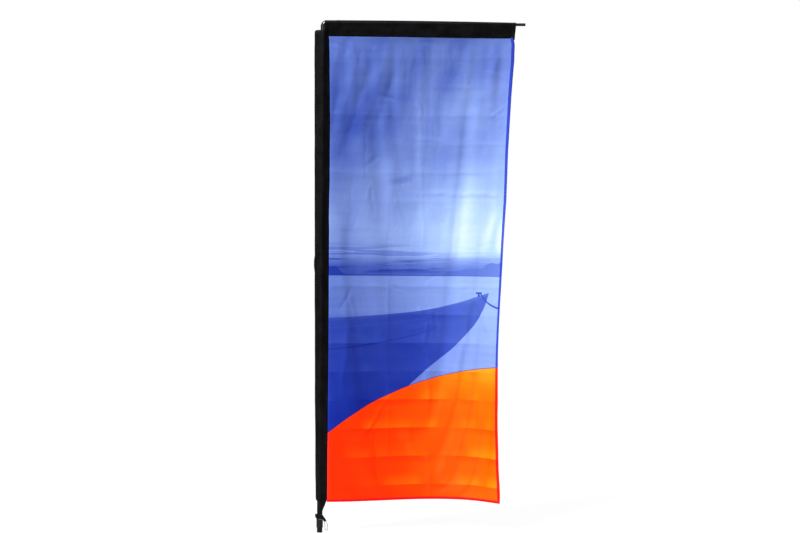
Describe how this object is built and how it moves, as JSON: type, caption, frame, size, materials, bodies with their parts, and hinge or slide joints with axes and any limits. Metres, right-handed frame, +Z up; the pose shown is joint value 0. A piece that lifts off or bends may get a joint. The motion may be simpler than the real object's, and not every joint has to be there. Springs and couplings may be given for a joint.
{
  "type": "feather flag with pole",
  "caption": "Tall rectangular flag on a two-section pole with an elbow and a horizontal top arm, cloth pocket and sleeve, foot collar and bottom tie.",
  "frame": {"origin": "centre of the pole's lower end face, at the mouth of the spindle socket", "axes": "+Z up the pole, +X along the top arm towards the flag's free edge, -Y the printed front"},
  "size_m": [0.947, 0.1671, 2.3008],
  "materials": {
    "pole_black": "black anodised, satin",
    "collar_black": "moulded, satin",
    "ferrule_black": "black anodised, satin",
    "nylon": "natural, satin",
    "rivet_metal": "plain, satin",
    "spigot_metal": "plain drawn tube",
    "plug_black": "moulded, satin",
    "elbow_gloss": "moulded, glossy",
    "pocket_cloth": "black polyester, soft sheen",
    "binding_tape": "black tape, soft sheen",
    "printed_cloth": "printed knitted polyester, slight sheen",
    "webbing": "black webbing, matt",
    "elastic_cord": "braided elastic, matt",
    "arm_black": "glass fibre in resin, satin",
    "cap_black": "vinyl, satin"
  },
  "bodies": {
    "lower_pole": {"lower_tube": "pole_black", "foot_collar": "collar_black", "socket_stop": "nylon", "stop_rivets": "rivet_metal", "joint_ferrule": "ferrule_black"},
    "upper_pole": {"upper_tube": "pole_black", "joint_spigot": "spigot_metal", "spigot_nose": "plug_black", "spigot_rivets": "rivet_metal", "top_bush": "nylon"},
    "banner": {"elbow": "elbow_gloss", "pole_pocket": "pocket_cloth", "top_sleeve": "pocket_cloth", "sleeve_end_binding": "binding_tape", "flag_panel": "printed_cloth", "tie_strap": "webbing", "cord_loop": "elastic_cord"},
    "arm": {"arm_tube": "arm_black", "arm_tip_cap": "cap_black"}
  },
  "joints": [
    {"name": "section_lift", "type": "slide", "parent": "lower_pole", "child": "upper_pole", "axis": [0, 0, 1], "range_m": [0, 1.3]},
    {"name": "banner_swivel", "type": "hinge", "parent": "upper_pole", "child": "banner", "pos_m": [0, 0, 2.243], "axis": [0, 0, 1], "continuous": true},
    {"name": "arm_pull", "type": "slide", "parent": "banner", "child": "arm", "axis": [1, 0, 0], "range_m": [0, 0.86]}
  ]
}
